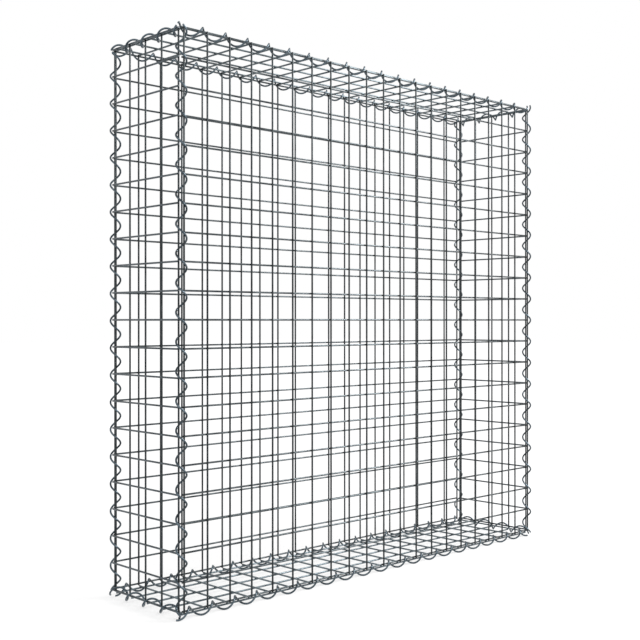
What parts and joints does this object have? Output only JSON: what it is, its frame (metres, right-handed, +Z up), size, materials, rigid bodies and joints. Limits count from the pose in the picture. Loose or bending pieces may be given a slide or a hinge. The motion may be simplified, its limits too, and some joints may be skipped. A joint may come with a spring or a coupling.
{
  "type": "gabion basket",
  "caption": "Empty box-shaped gabion basket of welded square steel mesh, its panels laced along every edge by spiral wires.",
  "frame": {"origin": "on the floor, in the middle of the footprint", "axes": "+X along the front face, +Y from the front face to the back face, +Z up"},
  "size_m": [1.0308, 0.2308, 1.0269],
  "materials": {
    "mesh_wire": "bright galvanised",
    "spiral_wire": "bright galvanised"
  },
  "bodies": {
    "root": {"front_panel": "mesh_wire", "back_panel": "mesh_wire", "left_panel": "mesh_wire", "right_panel": "mesh_wire", "base_panel": "mesh_wire", "lid_panel": "mesh_wire", "front_left_spiral": "spiral_wire", "front_right_spiral": "spiral_wire", "back_left_spiral": "spiral_wire", "back_right_spiral": "spiral_wire", "lid_front_spiral": "spiral_wire", "lid_back_spiral": "spiral_wire", "base_front_spiral": "spiral_wire", "base_back_spiral": "spiral_wire", "lid_left_spiral": "spiral_wire", "lid_right_spiral": "spiral_wire", "base_left_spiral": "spiral_wire", "base_right_spiral": "spiral_wire"}
  },
  "joints": []
}
